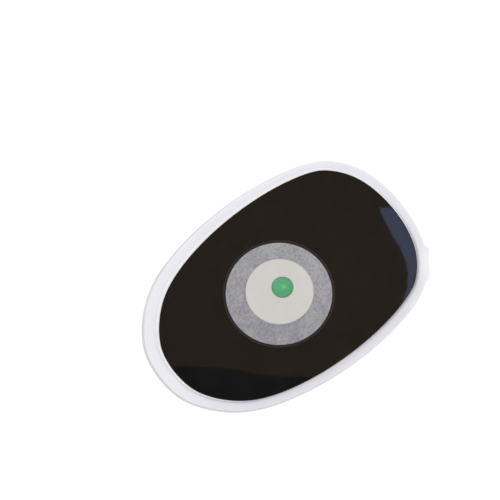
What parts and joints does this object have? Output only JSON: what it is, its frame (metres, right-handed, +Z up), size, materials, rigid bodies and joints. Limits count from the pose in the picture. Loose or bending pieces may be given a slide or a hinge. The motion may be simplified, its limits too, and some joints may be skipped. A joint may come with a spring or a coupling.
{
  "type": "trainer electrode pad",
  "caption": "Egg-shaped training electrode pad, sticky black face up, with a sprung contact button in a sensor disc, foam backing and clear release liner with lift tab.",
  "frame": {"origin": "centre of the whole part's box, on the surface that the pad lies on", "axes": "+X along the pad towards its wide end, +Z up out of the sticky face"},
  "size_m": [0.1458, 0.1002, 0.005],
  "materials": {
    "foam": "fine closed-cell foam with a smooth pale skin",
    "black_adhesive": "smooth black adhesive sheet, glossy under the liner",
    "grey_fabric": "matte non-woven fibre",
    "clear_film": "clear glossy film with a faint cool tint",
    "base_plastic": "satin moulded plastic",
    "cover_plastic": "fine matte moulded plastic",
    "green_plastic": "smooth, slightly translucent moulded plastic",
    "board_laminate": "green solder-masked laminate",
    "switch_plastic": "black moulded plastic",
    "plunger_plastic": "white moulded plastic"
  },
  "bodies": {
    "pad": {"foam_backing": "foam", "adhesive_face": "black_adhesive", "fabric_ring": "grey_fabric", "release_liner": "clear_film", "sensor_base": "base_plastic", "sensor_cover": "cover_plastic", "circuit_board": "board_laminate", "switch_case": "switch_plastic"},
    "button": {"sensor_button": "green_plastic", "switch_plunger": "plunger_plastic"}
  },
  "joints": [
    {"name": "button_press", "type": "slide", "parent": "pad", "child": "button", "axis": [0, 0, -1], "range_m": [0, 0.0006], "stiffness_N_per_m": 1200}
  ]
}
